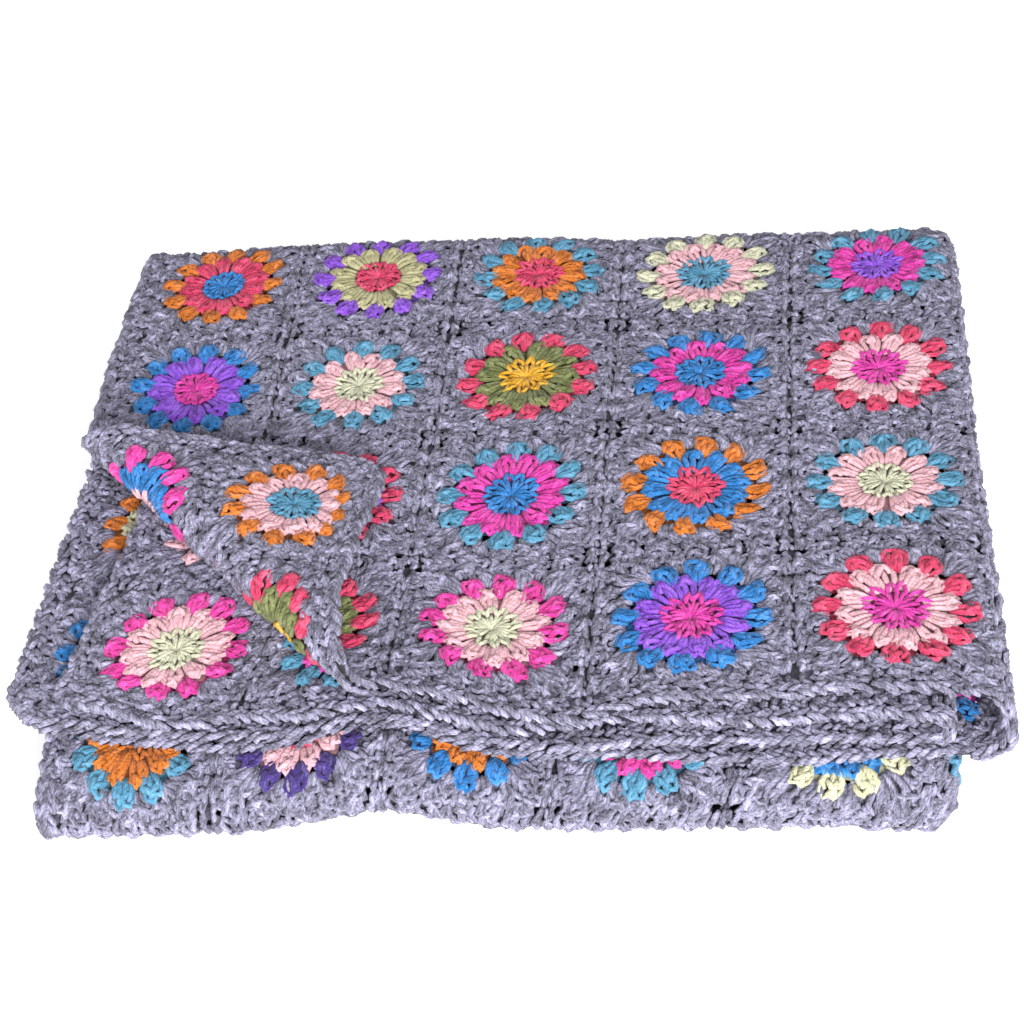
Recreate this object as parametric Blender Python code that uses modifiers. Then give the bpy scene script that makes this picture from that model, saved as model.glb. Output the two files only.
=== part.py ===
"""Granny square blanket, folded to eight layers with one corner turned back.

The open blanket is 10 by 16 crocheted squares with a narrow edging. It is one sheet:
  1. folded in half across its length, which makes the front fold of the lower packet;
  2. folded in half across its width, which makes the loops along the right side;
  3. folded in half again at the back, so that an upper packet of four layers lies on a
     lower packet of four layers, with the sheet's edges free at the front and the left.

Cloth coordinates: u runs across the open blanket, with 0 on its middle seam, and v along it,
with 0 on the seam of the front fold. Layer n is the nth from the top in the upper packet. It
passes round the back bend and is the nth from the floor in the lower packet. Layers 1 and 4
are one half of the first fold, the outer sheet, and layers 2 and 3 are the inner sheet.
"""
from collections import namedtuple
from math import pi

import bmesh
import bpy
import numpy as np

# Driving sizes, metres
SQUARE = 0.115              # pitch of the squares
HALF_COLUMNS = 5            # squares from the middle seam to the side edge
HALF_ROWS = 8               # squares from the front fold to the end edge
EDGING = 0.008              # crocheted border
CLOTH = 0.005               # thickness
LAYER = 0.0095              # spacing of the layers' middle surfaces
HALF_WIDTH = HALF_COLUMNS * SQUARE + EDGING
HALF_LENGTH = HALF_ROWS * SQUARE + EDGING

# The pile: x to the right, y to the back, z up
FLOOR_LAYER = CLOTH / 2                     # height of the lowest middle surface
BEND_Y = 0.202                              # axis of the back bend
BEND_Z = FLOOR_LAYER + 3.5 * LAYER
BEND_START = 0.489                          # cloth from the front fold to the back bend
SKEW = 0.147                                # the pile leans to the right towards the back
PILE_CENTRE = (0.01124, -0.01735)           # middle of the pile's box, moved to the origin

# Front of the lower packet: layers 4 and 3 roll over the fold of layers 1 and 2, loosely at
# the left and the right, and snugly round it at the corner, where the side fold begins
NOSE_Y = -0.262                             # where they reach farthest
NOSE_Z = 0.013
NOSE_REACH = 0.038
TOE_REACH = 0.013
WRAP_Y = NOSE_Y + 2.5 * LAYER               # axis of the corner's snug form
DROP_RUN = 0.030
LEFT, RIGHT, CORNER = range(3)              # places across the lower packet
INNER_FOLD_Y = {LEFT: -0.195, RIGHT: -0.222, CORNER: -0.234}
UPPER_TURN = (0.030, 0.100)                 # from the side fold, where the corner's form
LOWER_TURN = (0.000, 0.030)                 # gives way, for layers 4 and 3, and 1 and 2
SEAM_BLEND = 1.2 * LAYER                    # cloth over which the two sheets meet at the fold

# Each layer. depth: layers from the axis of the back bend. front_y: front edge in the upper
# packet. bend_end_...: cloth from the front fold to the end of the back bend, at the left and
# the right. crowd: how much closer the squares lie at the left. left_pull, right_pull: front
# edge drawn back at a side. hem_pull: more of it, to the left of hem_x.
Layer = namedtuple("Layer", "depth front_y bend_end_left bend_end_right crowd left_pull "
                            "right_pull hem_pull hem_x")
LAYERS = {
    1: Layer(3.5, -0.234, 0.403, 0.430, -0.09, 0.004, 0.010, 0.023, -0.07),
    2: Layer(2.5, -0.239, 0.425, 0.440, 0.03, 0.000, 0.004, 0.022, -0.15),
    3: Layer(1.5, -0.240, 0.450, 0.450, 0.08, 0.014, 0.000, 0.012, -0.19),
    4: Layer(0.5, -0.240, 0.475, 0.460, 0.00, 0.016, -0.002, 0.012, -0.19),
}
LOWER_CROWD = -0.13
UPPER_PACKET = (4.6 * SQUARE, 5.2 * SQUARE)     # cloth over which the upper packet begins
HEM_RUN = 0.055             # cloth behind the front edge that the hem pull moves
HEM_SPREAD = 0.08

# Left edges and right reach, at stations along the cloth from the front fold
STATIONS = np.array((0.0, 2.0, 4.0, 6.0, 8.07)) * SQUARE
LEFT_EDGE = {
    1: (-0.241, -0.264, -0.280, -0.273, -0.276),
    2: (-0.238, -0.260, -0.276, -0.228, -0.243),
    3: (-0.239, -0.260, -0.278, -0.272, -0.270),
    4: (-0.242, -0.262, -0.279, -0.272, -0.268),
}
OUTER_REACH = (0.268, 0.277, 0.287, 0.290, 0.296)
INNER_REACH = (0.256, 0.265, 0.274, 0.268, 0.262)
SIDE_FOLD_U = (-0.038, -0.016, 0.000, 0.008, 0.0095)    # where the side fold lies on the cloth
LOOP_HALF_WIDTH = 0.012
LOOP_GROWTH = 0.005         # wider in the outer sheet, narrower in the inner one
LOOP_SLACK = 0.007          # cloth that the loops take up, half of what the outer one takes

# The front: all layers lean forward to the right and are dented together
FRONT_ZONE = (0.09, 0.21)                   # in front of the middle, over which it sets in
FRONT_LEAN = 0.032
DENT_X, DENT_WIDTH, DENT_DEPTH = -0.055, 0.050, 0.015

# Waves of the upper packet's front edges. A lift raises this layer and those above it.
Wave = namedtuple("Wave", "layer x width forward lift")
FRONT_WAVES = (
    Wave(4, -0.060, 0.035, -0.006, 0.0045),
    Wave(2, -0.135, 0.035, -0.007, 0.0030),
    Wave(1, -0.015, 0.030, 0.000, 0.0030),
    Wave(1, 0.052, 0.030, 0.008, -0.0010),
    Wave(2, 0.085, 0.030, -0.004, 0.0030),
    Wave(2, 0.215, 0.040, 0.000, 0.0045),
    Wave(3, 0.045, 0.035, 0.004, 0.0000),
    Wave(4, 0.165, 0.060, 0.005, 0.0000),
)
WAVE_RUN = 0.07             # cloth behind the front edge that they move

# Long low waves of the whole pile: height, and waves per metre to the right and the back
Swell = namedtuple("Swell", "height across back phase")
SWELLS = (
    Swell(0.0016, 19.0, 11.0, 0.6),
    Swell(0.0014, -13.0, 27.0, 1.9),
    Swell(0.0010, 41.0, 5.0, 0.0),
)
UPPERMOST = 7 * LAYER

# The turned corner of layer 1: its crease runs from the left edge to the front edge
CREASE_LEFT = np.array((-0.276, 0.004))
CREASE_FRONT = np.array((-0.108, -0.2135))
CURL_RADIUS = (0.015, 0.012)                # at the left and at the front end
FLAP_CROWD = 0.97
FLAP_SINK, FLAP_SINK_RUN = 0.016, 0.12      # the flap comes down towards its tip
HEM_SINK, HEM_SINK_RUN = 0.004, 0.03        # and its hem droops

# Mesh
CELLS = 24                                  # of the raw sheet, across a square
CORNER_GAP = SQUARE / CELLS                 # open gap where four squares meet
CORNER_RADIUS = 0.012                       # of the sheet's own corners
TRIANGLES = 11000                           # about as many in the finished solid
YARN_COLOUR = (0.33, 0.32, 0.36, 1.0)


def smooth(x, low=0.0, high=1.0):
    """0 below low, 1 above high, with an even S between them."""
    s = np.clip((x - low) / (high - low), 0.0, 1.0)
    return s * s * (3 - 2 * s)


def bell(x, middle, width):
    return np.exp(-((x - middle) / width) ** 2)


def at_station(values, along):
    """Smooth curve through one value at each station."""
    values = np.asarray(values)
    slope = np.gradient(values, STATIONS)
    i = np.clip(np.searchsorted(STATIONS, along) - 1, 0, len(STATIONS) - 2)
    span = STATIONS[i + 1] - STATIONS[i]
    f = np.clip((along - STATIONS[i]) / span, 0.0, 1.0)
    bow = f * (1 - f) * span * ((1 - f) * slope[i] - f * slope[i + 1])
    return values[i] + (values[i + 1] - values[i]) * smooth(f) + bow


def of_layer(column, number):
    """One column of the layer table, looked up for an array of layer numbers."""
    table = np.array([0.0] + [getattr(LAYERS[n], column) for n in sorted(LAYERS)])
    return table[number]


def arc(middle, reach, start, end):
    """Points of an elliptic arc in the y-z plane, from start to end degrees."""
    a = np.radians(np.linspace(start, end, 24))
    return np.stack([middle[0] + reach[0] * np.cos(a), middle[1] + reach[1] * np.sin(a)], 1)


def lower_run(number, place):
    """Path of a layer in the lower packet, from the back bend to the front fold."""
    z = BEND_Z - LAYERS[number].depth * LAYER
    radius = LAYER / 2
    fold_y = INNER_FOLD_Y[place] + radius
    fold_z = FLOOR_LAYER + radius
    if number in (1, 2):
        front = arc((fold_y, fold_z), (radius, z - fold_z), 90, 180)
    elif place == CORNER:
        over = arc((WRAP_Y, fold_z), (z - fold_z, z - fold_z), 90, 180)
        lip = arc((NOSE_Y + radius, fold_z), (radius, radius), 180 if number == 4 else 360, 270)
        front = np.vstack([over, lip])
    elif number == 4:
        front = arc((NOSE_Y + NOSE_REACH, NOSE_Z), (NOSE_REACH, z - NOSE_Z), 90, 180)
    else:
        toe_y = NOSE_Y + TOE_REACH
        drop_end = max(INNER_FOLD_Y[place] - DROP_RUN, toe_y + 0.001)
        s = np.linspace(0, 1, 24)
        drop = np.stack([fold_y + (drop_end - fold_y) * s, z + (FLOOR_LAYER - z) * smooth(s)], 1)
        toe = arc((toe_y, NOSE_Z), (TOE_REACH, NOSE_Z - FLOOR_LAYER), 270, 180)
        front = np.vstack([drop, toe])
    return np.vstack([[BEND_Y, z], front])


def walk(path, fraction):
    """y and z at a fraction of a path's length."""
    length = np.append(0, np.cumsum(np.hypot(*np.diff(path, axis=0).T)))
    s = np.clip(fraction, 0, 1) * length[-1]
    return np.interp(s, length, path[:, 0]), np.interp(s, length, path[:, 1])


def layer_line(number, along, place):
    """y and z of a layer at one place across the pile, at distances from the front fold."""
    layer = LAYERS[number]
    end = layer.bend_end_left if place == LEFT else layer.bend_end_right
    turn = pi * np.clip((BEND_START - along) / (BEND_START - end), 0, 1)
    run = np.clip((along - BEND_START) / (HALF_LENGTH - BEND_START), 0, None)
    y = BEND_Y + layer.depth * LAYER * np.sin(turn) - run * (BEND_Y - layer.front_y)
    z = BEND_Z + layer.depth * LAYER * np.cos(turn)
    lower = walk(lower_run(number, place), 1 - along / end)
    return np.where(along < end, lower, (y, z))


def layer_surface(number, along, t, inboard):
    """y and z of a layer at t, from 0 at the side fold to 1 at the left edge."""
    line = {place: layer_line(number, along, place) for place in (LEFT, RIGHT, CORNER)}
    surface = line[RIGHT] + (line[LEFT] - line[RIGHT]) * smooth(t)
    turn = LOWER_TURN if number in (1, 2) else UPPER_TURN
    return line[CORNER] + (surface - line[CORNER]) * smooth(inboard, *turn)


def layer_number(u, v):
    """Number of the layer that a point of the cloth lies in."""
    turned = u < at_station(SIDE_FOLD_U, np.abs(v))
    return np.where(v >= 0, np.where(turned, 1, 4), np.where(turned, 2, 3))


def between(outer, inner, weight):
    """outer where the weight is 1, inner where it is -1."""
    return (outer + inner) / 2 + (outer - inner) / 2 * weight


def fold_sheet(u, v, number):
    """x, y and z of the folded sheet, before its front is shaped."""
    along = np.abs(v)
    weight = np.sin(pi / 2 * np.clip(v / SEAM_BLEND, -1, 1))
    side = np.where(number >= 3, 1.0, -1.0)
    fold_u = at_station(SIDE_FOLD_U, along)
    across = np.abs(u - fold_u)
    width = HALF_WIDTH - side * fold_u
    inboard = across - LOOP_SLACK * (1 + weight)
    layer = {n: layer_surface(n, along, across / width, inboard) for n in LAYERS}
    near = np.where(v >= 0, layer[4], layer[3])
    far = np.where(v >= 0, layer[1], layer[2])
    half = (near - far) / 2

    # the side loop is a half ellipse between the two layers, and the rest runs to the left
    reach = between(at_station(OUTER_REACH, along), at_station(INNER_REACH, along), weight)
    loop = LOOP_HALF_WIDTH + LOOP_GROWTH * weight
    quarter = pi / 2 * np.sqrt((loop ** 2 + half[0] ** 2 + half[1] ** 2) / 2)
    turn = pi / 2 * (1 - np.clip(across / quarter, 0, 1))
    left_near = between(at_station(LEFT_EDGE[4], along), at_station(LEFT_EDGE[3], along), weight)
    left_far = between(at_station(LEFT_EDGE[1], along), at_station(LEFT_EDGE[2], along), weight)
    left = np.where(side > 0, left_near, left_far)
    upper = smooth(along, 1.5 * SQUARE, 6.0 * SQUARE)
    crowd = of_layer("crowd", number) * upper + LOWER_CROWD * (1 - upper)
    f = np.clip((across - quarter) / (width - quarter), 0, None)
    f = f + crowd * f * (f - 1)
    x = reach - loop + loop * np.sin(turn) + (left - reach + loop) * f
    y, z = (near + far) / 2 + half * side * np.cos(turn)
    return x, y, z


def draw_back(x, y, v, number):
    """Draw back the front edges of the upper packet, most at the front left corner."""
    run = np.clip((BEND_Y - y) / (BEND_Y - LAYERS[1].front_y), 0, 1)
    left = of_layer("left_pull", number) * smooth(-x, 0.03, 0.27) * run ** 1.6
    right = of_layer("right_pull", number) * smooth(x, 0.0, 0.2) * run ** 2
    edge = smooth(np.abs(v), HALF_LENGTH - HEM_RUN, HALF_LENGTH)
    hem_x = of_layer("hem_x", number)
    hem = of_layer("hem_pull", number) * edge * smooth(hem_x - x, 0.0, HEM_SPREAD)
    ease = 1 - 0.3 * smooth(-x, 0.20, 0.28)
    return y + smooth(np.abs(v), *UPPER_PACKET) * (left + right + hem * ease)


def shape_front(x, y):
    """Dent the front and lean it forward to the right."""
    dent = DENT_DEPTH * bell(x, DENT_X, DENT_WIDTH)
    return y + smooth(-y, *FRONT_ZONE) * (dent - FRONT_LEAN * x)


def wave_front(x, y, z, v, number):
    """Wave the front edges of the upper packet."""
    edge = smooth(np.abs(v), HALF_LENGTH - WAVE_RUN, HALF_LENGTH)
    for wave in FRONT_WAVES:
        amount = edge * bell(x, wave.x, wave.width)
        y = y - amount * wave.forward * (number == wave.layer)
        z = z + amount * wave.lift * (number <= wave.layer)
    return y, z


def swell(x, y, z):
    """Long low waves, which grow from nothing at the floor."""
    height = np.clip((z - FLOOR_LAYER) / UPPERMOST, 0, 1.2)
    return z + height * sum(s.height * np.sin(s.across * x + s.back * y + s.phase) for s in SWELLS)


def turn_corner(x, y, z, v, number):
    """Roll the front left corner of layer 1 over its crease and lay it on the pile."""
    axis = CREASE_FRONT - CREASE_LEFT
    span = np.hypot(*axis)
    axis = axis / span
    outward = np.array((axis[1], -axis[0]))
    rel_x, rel_y = x - CREASE_LEFT[0], y - CREASE_LEFT[1]
    on_crease = rel_x * axis[0] + rel_y * axis[1]
    beyond = rel_x * outward[0] + rel_y * outward[1]
    radius = CURL_RADIUS[0] + (CURL_RADIUS[1] - CURL_RADIUS[0]) * np.clip(on_crease / span, -0.3, 1.3)
    rolled = beyond + radius
    turn = np.clip(rolled / radius, 0, pi)
    over = np.clip(rolled - pi * radius, 0, None)
    shift = -radius + radius * np.sin(turn) - over * FLAP_CROWD
    hem = smooth(np.abs(v), HALF_LENGTH - HEM_RUN, HALF_LENGTH)
    sink = FLAP_SINK * smooth(over, 0, FLAP_SINK_RUN) + HEM_SINK * hem * smooth(over, 0, HEM_SINK_RUN)
    turned = (number == 1) & (v > UPPER_PACKET[0]) & (rolled > 0)
    x = np.where(turned, CREASE_LEFT[0] + on_crease * axis[0] + shift * outward[0], x)
    y = np.where(turned, CREASE_LEFT[1] + on_crease * axis[1] + shift * outward[1], y)
    z = np.where(turned, z + radius * (1 - np.cos(turn)) - sink, z)
    return x, y, z


def lay_out(u, v):
    """Where points of the open sheet's middle surface lie in the folded pile."""
    number = layer_number(u, v)
    x, y, z = fold_sheet(u, v, number)
    y = draw_back(x, y, v, number)
    y = shape_front(x, y)
    y, z = wave_front(x, y, z, v, number)
    x = x + SKEW * y
    x, y, z = turn_corner(x, y, z, v, number)
    z = swell(x, y, z)
    return np.stack([x - PILE_CENTRE[0], y - PILE_CENTRE[1], z], 1)


def sheet_lines(half_squares, half_size):
    """Lines of the raw sheet, even but for the edging, with square corners at mid-cell."""
    count = half_squares * CELLS
    lines = (np.arange(-count, count) + 0.5) * CORNER_GAP
    return np.concatenate([[-half_size], lines, [half_size]])


def round_corners(u, v):
    """Draw the sheet's four corners in to arcs."""
    du = np.clip(np.abs(u) - (HALF_WIDTH - CORNER_RADIUS), 0, None)
    dv = np.clip(np.abs(v) - (HALF_LENGTH - CORNER_RADIUS), 0, None)
    reach = np.maximum(np.hypot(du, dv), 1e-9)
    shrink = np.maximum(du, dv) / reach
    return u - np.sign(u) * du * (1 - shrink), v - np.sign(v) * dv * (1 - shrink)


def at_square_corner(face):
    """Whether a face of the open sheet lies where four squares meet."""
    u, v = face.calc_center_median().xy
    column, row = round(u / SQUARE), round(v / SQUARE)
    inside = abs(column) < HALF_COLUMNS and abs(row) < HALF_ROWS
    near = max(abs(u - column * SQUARE), abs(v - row * SQUARE)) < CORNER_GAP / 2
    return inside and near


def open_sheet():
    """The open blanket as a flat mesh, with a gap wherever four squares meet."""
    u_lines = sheet_lines(HALF_COLUMNS, HALF_WIDTH)
    v_lines = sheet_lines(HALF_ROWS, HALF_LENGTH)
    cells = bmesh.new()
    across, along = len(u_lines) - 1, len(v_lines) - 1
    bmesh.ops.create_grid(cells, x_segments=across, y_segments=along, size=1.0)
    for vertex in cells.verts:
        column = round((vertex.co.x + 1) / 2 * across)
        row = round((vertex.co.y + 1) / 2 * along)
        vertex.co = (u_lines[column], v_lines[row], 0)
    gaps = [face for face in cells.faces if at_square_corner(face)]
    bmesh.ops.delete(cells, geom=gaps, context="FACES")
    mesh = bpy.data.meshes.new("blanket")
    cells.to_mesh(mesh)
    cells.free()
    return mesh


def fold(mesh):
    """Move the points of the open sheet to their places in the pile."""
    flat = np.empty(len(mesh.vertices) * 3)
    mesh.vertices.foreach_get("co", flat)
    u, v = flat.reshape(-1, 3)[:, :2].T
    mesh.vertices.foreach_set("co", lay_out(*round_corners(u, v)).ravel())
    mesh.update()


def yarn_material():
    material = bpy.data.materials.new("heathered_yarn")
    material.use_nodes = True
    shader = material.node_tree.nodes["Principled BSDF"]
    shader.inputs["Base Color"].default_value = YARN_COLOUR
    shader.inputs["Roughness"].default_value = 0.95
    shader.inputs["Metallic"].default_value = 0.0
    return material


def blanket(collection):
    mesh = open_sheet()
    fold(mesh)
    mesh.shade_smooth()
    mesh.materials.append(yarn_material())
    sheet = bpy.data.objects.new("blanket", mesh)
    collection.objects.link(sheet)
    thick = sheet.modifiers.new("thickness", "SOLIDIFY")
    thick.thickness = CLOTH
    thick.offset = 0.0
    fewer = sheet.modifiers.new("fewer_faces", "DECIMATE")
    fewer.ratio = TRIANGLES / (4 * len(mesh.polygons))
    return sheet


def main():
    for old in list(bpy.data.objects):
        bpy.data.objects.remove(old, do_unlink=True)
    collection = bpy.data.collections.new("granny_square_blanket")
    bpy.context.scene.collection.children.link(collection)
    blanket(collection)


if __name__ == "__main__":
    main()
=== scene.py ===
"""Looks of the folded granny square blanket: crocheted stitches laid on the folds of its sheet.

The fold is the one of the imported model: lay_out() takes a point of the open sheet to its place
in the pile. Stitches are strands of yarn, set out on one open square in millimetres, repeated
over the sheet with small changes, and swept along the folds wherever they can be seen.
"""
from collections import namedtuple
from math import pi, radians

import bpy
import numpy as np
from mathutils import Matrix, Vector
from mathutils.bvhtree import BVHTree


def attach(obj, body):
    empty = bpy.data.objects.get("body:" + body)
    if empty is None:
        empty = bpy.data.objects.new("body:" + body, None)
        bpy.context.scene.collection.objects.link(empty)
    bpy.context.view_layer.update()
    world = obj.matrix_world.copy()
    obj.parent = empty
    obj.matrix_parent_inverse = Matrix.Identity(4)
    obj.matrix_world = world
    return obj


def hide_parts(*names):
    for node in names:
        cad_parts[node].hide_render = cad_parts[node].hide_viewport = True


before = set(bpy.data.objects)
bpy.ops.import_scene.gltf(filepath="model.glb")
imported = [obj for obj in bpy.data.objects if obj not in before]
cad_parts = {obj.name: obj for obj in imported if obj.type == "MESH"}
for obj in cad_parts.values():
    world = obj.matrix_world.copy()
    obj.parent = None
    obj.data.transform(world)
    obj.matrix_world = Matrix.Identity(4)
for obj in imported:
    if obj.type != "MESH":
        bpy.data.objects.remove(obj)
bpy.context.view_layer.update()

# Driving sizes, metres
SQUARE = 0.115    # pitch of the squares
HALF_COLUMNS = 5  # squares from the middle seam to the side edge
HALF_ROWS = 8     # squares from the front fold to the end edge
EDGING = 0.008    # crocheted border
CLOTH = 0.005     # thickness
LAYER = 0.0095    # spacing of the layers' middle surfaces
HALF_WIDTH = HALF_COLUMNS * SQUARE + EDGING
HALF_LENGTH = HALF_ROWS * SQUARE + EDGING

# The pile: x to the right, y to the back, z up
FLOOR_LAYER = CLOTH / 2  # height of the lowest middle surface
BEND_Y = 0.202           # axis of the back bend
BEND_Z = FLOOR_LAYER + 3.5 * LAYER
BEND_START = 0.489  # cloth from the front fold to the back bend
SKEW = 0.147  # the pile leans to the right towards the back
PILE_CENTRE = (0.01124, -0.01735)  # middle of the pile's box, moved to the origin

# Front of the lower packet: layers 4 and 3 roll over the fold of layers 1 and 2, loosely at
# the left and the right, and snugly round it at the corner, where the side fold begins
NOSE_Y = -0.262  # where they reach farthest
NOSE_Z = 0.013
NOSE_REACH = 0.038
TOE_REACH = 0.013
WRAP_Y = NOSE_Y + 2.5 * LAYER  # axis of the corner's snug form
DROP_RUN = 0.030
LEFT, RIGHT, CORNER = range(3)  # places across the lower packet
INNER_FOLD_Y = {LEFT: -0.195, RIGHT: -0.222, CORNER: -0.234}
UPPER_TURN = (0.030, 0.100)  # from the side fold, where the corner's form
LOWER_TURN = (0.000, 0.030)  # gives way, for layers 4 and 3, and 1 and 2
SEAM_BLEND = 1.2 * LAYER     # cloth over which the two sheets meet at the fold

# Each layer. depth: layers from the axis of the back bend. front_y: front edge in the upper
# packet. bend_end_...: cloth from the front fold to the end of the back bend, at the left and
# the right. crowd: how much closer the squares lie at the left. left_pull, right_pull: front
# edge drawn back at a side. hem_pull: more of it, to the left of hem_x.
Layer = namedtuple("Layer", "depth front_y bend_end_left bend_end_right crowd left_pull "
                            "right_pull hem_pull hem_x")
LAYERS = {
    1: Layer(3.5, -0.234, 0.403, 0.430, -0.09, 0.004, 0.010, 0.023, -0.07),
    2: Layer(2.5, -0.239, 0.425, 0.440, 0.03, 0.000, 0.004, 0.022, -0.15),
    3: Layer(1.5, -0.240, 0.450, 0.450, 0.08, 0.014, 0.000, 0.012, -0.19),
    4: Layer(0.5, -0.240, 0.475, 0.460, 0.00, 0.016, -0.002, 0.012, -0.19),
}
LOWER_CROWD = -0.13
UPPER_PACKET = (4.6 * SQUARE, 5.2 * SQUARE)  # cloth over which the upper packet begins
HEM_RUN = 0.055  # cloth behind the front edge that the hem pull moves
HEM_SPREAD = 0.08
LEFT_ZONE, RIGHT_ZONE = (0.03, 0.27), (0.0, 0.2)  # from the middle, over which the pulls set in
HEM_EASE, HEM_EASE_ZONE = 0.3, (0.20, 0.28)  # the hem pull gives way at the left edge
ARC_POINTS = 24  # of each bend and drop of a layer's path

# Left edges and right reach, at stations along the cloth from the front fold
STATIONS = np.array((0.0, 2.0, 4.0, 6.0, 8.07)) * SQUARE
LEFT_EDGE = {
    1: (-0.241, -0.264, -0.280, -0.273, -0.276),
    2: (-0.238, -0.260, -0.276, -0.228, -0.243),
    3: (-0.239, -0.260, -0.278, -0.272, -0.270),
    4: (-0.242, -0.262, -0.279, -0.272, -0.268),
}
OUTER_REACH = (0.268, 0.277, 0.287, 0.290, 0.296)
INNER_REACH = (0.256, 0.265, 0.274, 0.268, 0.262)
SIDE_FOLD_U = (-0.038, -0.016, 0.000, 0.008, 0.0095)  # where the side fold lies on the cloth
LOOP_HALF_WIDTH = 0.012
LOOP_GROWTH = 0.005  # wider in the outer sheet, narrower in the inner one
LOOP_SLACK = 0.007   # cloth that the loops take up, half of what the outer one takes

# The front: all layers lean forward to the right and are dented together
FRONT_ZONE = (0.09, 0.21)  # in front of the middle, over which it sets in
FRONT_LEAN = 0.032
DENT_X, DENT_WIDTH, DENT_DEPTH = -0.055, 0.050, 0.015

# Waves of the upper packet's front edges. A lift raises this layer and those above it.
Wave = namedtuple("Wave", "layer x width forward lift")
FRONT_WAVES = (
    Wave(4, -0.060, 0.035, -0.006, 0.0045),
    Wave(2, -0.135, 0.035, -0.007, 0.0030),
    Wave(1, -0.015, 0.030, 0.000, 0.0030),
    Wave(1, 0.052, 0.030, 0.008, -0.0010),
    Wave(2, 0.085, 0.030, -0.004, 0.0030),
    Wave(2, 0.215, 0.040, 0.000, 0.0045),
    Wave(3, 0.045, 0.035, 0.004, 0.0000),
    Wave(4, 0.165, 0.060, 0.005, 0.0000),
)
WAVE_RUN = 0.07  # cloth behind the front edge that they move

# Long low waves of the whole pile: height, and waves per metre to the right and the back
Swell = namedtuple("Swell", "height across back phase")
SWELLS = (
    Swell(0.0016, 19.0, 11.0, 0.6),
    Swell(0.0014, -13.0, 27.0, 1.9),
    Swell(0.0010, 41.0, 5.0, 0.0),
)
UPPERMOST = 7 * LAYER  # height of the top layer above the lowest, where a swell is full

# The turned corner of layer 1: its crease runs from the left edge to the front edge
CREASE_LEFT = np.array((-0.276, 0.004))
CREASE_FRONT = np.array((-0.108, -0.2135))
CURL_RADIUS = (0.015, 0.012)  # at the left and at the front end
FLAP_CROWD = 0.97
FLAP_SINK, FLAP_SINK_RUN = 0.016, 0.12  # the flap comes down towards its tip
HEM_SINK, HEM_SINK_RUN = 0.004, 0.03    # and its hem droops

CORNER_RADIUS = 0.027  # of the sheet's own corners, which its edging draws round
MM = 0.001

def add_object(name, data):
    made = bpy.data.objects.new(name, data)
    bpy.context.scene.collection.objects.link(made)
    return made


# ---- camera
CAMERA_ELEVATION = radians(42)
CAMERA_YAW = 0.04868
CAMERA_DISTANCE = 1.26377
CAMERA_TARGET = (-0.00833, -0.07093, BEND_Z + 3.5 * LAYER + CLOTH / 2)
LENS, SENSOR = 73.29, 36.0


def add_camera():
    camera = add_object("camera", bpy.data.cameras.new("camera"))
    target = Vector(CAMERA_TARGET) - Vector((*PILE_CENTRE, 0))
    flat = np.cos(CAMERA_ELEVATION)
    forward = Vector((np.sin(CAMERA_YAW) * flat, np.cos(CAMERA_YAW) * flat, -np.sin(CAMERA_ELEVATION)))
    camera.location = target - CAMERA_DISTANCE * forward
    camera.rotation_euler = forward.to_track_quat("-Z", "Y").to_euler()
    camera.data.lens, camera.data.sensor_width = LENS, SENSOR
    bpy.context.scene.camera = camera


# ---- folding
def smooth(x, low=0.0, high=1.0):
    """0 below low, 1 above high, with an even S between them."""
    s = np.clip((x - low) / (high - low), 0.0, 1.0)
    return s * s * (3 - 2 * s)


def bell(x, middle, width):
    return np.exp(-((x - middle) / width) ** 2)


def at_station(values, along):
    """Smooth curve through one value at each station."""
    values = np.asarray(values)
    slope = np.gradient(values, STATIONS)
    i = np.clip(np.searchsorted(STATIONS, along) - 1, 0, len(STATIONS) - 2)
    span = STATIONS[i + 1] - STATIONS[i]
    f = np.clip((along - STATIONS[i]) / span, 0.0, 1.0)
    bow = f * (1 - f) * span * ((1 - f) * slope[i] - f * slope[i + 1])
    return values[i] + (values[i + 1] - values[i]) * smooth(f) + bow


def of_layer(column, number):
    """One column of the layer table, looked up for an array of layer numbers."""
    table = np.array([0.0] + [getattr(LAYERS[n], column) for n in sorted(LAYERS)])
    return table[number]


def arc(middle, reach, start, end):
    """Points of an elliptic arc in the y-z plane, from start to end degrees."""
    a = np.radians(np.linspace(start, end, ARC_POINTS))
    return np.stack([middle[0] + reach[0] * np.cos(a), middle[1] + reach[1] * np.sin(a)], 1)


def lower_run(number, place):
    """Path of a layer in the lower packet, from the back bend to the front fold."""
    z = BEND_Z - LAYERS[number].depth * LAYER
    radius = LAYER / 2
    fold_y = INNER_FOLD_Y[place] + radius
    fold_z = FLOOR_LAYER + radius
    if number in (1, 2):
        front = arc((fold_y, fold_z), (radius, z - fold_z), 90, 180)
    elif place == CORNER:
        over = arc((WRAP_Y, fold_z), (z - fold_z, z - fold_z), 90, 180)
        lip = arc((NOSE_Y + radius, fold_z), (radius, radius), 180 if number == 4 else 360, 270)
        front = np.vstack([over, lip])
    elif number == 4:
        front = arc((NOSE_Y + NOSE_REACH, NOSE_Z), (NOSE_REACH, z - NOSE_Z), 90, 180)
    else:
        toe_y = NOSE_Y + TOE_REACH
        drop_end = max(INNER_FOLD_Y[place] - DROP_RUN, toe_y + 0.001)
        s = np.linspace(0, 1, ARC_POINTS)
        drop = np.stack([fold_y + (drop_end - fold_y) * s, z + (FLOOR_LAYER - z) * smooth(s)], 1)
        toe = arc((toe_y, NOSE_Z), (TOE_REACH, NOSE_Z - FLOOR_LAYER), 270, 180)
        front = np.vstack([drop, toe])
    return np.vstack([[BEND_Y, z], front])


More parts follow.
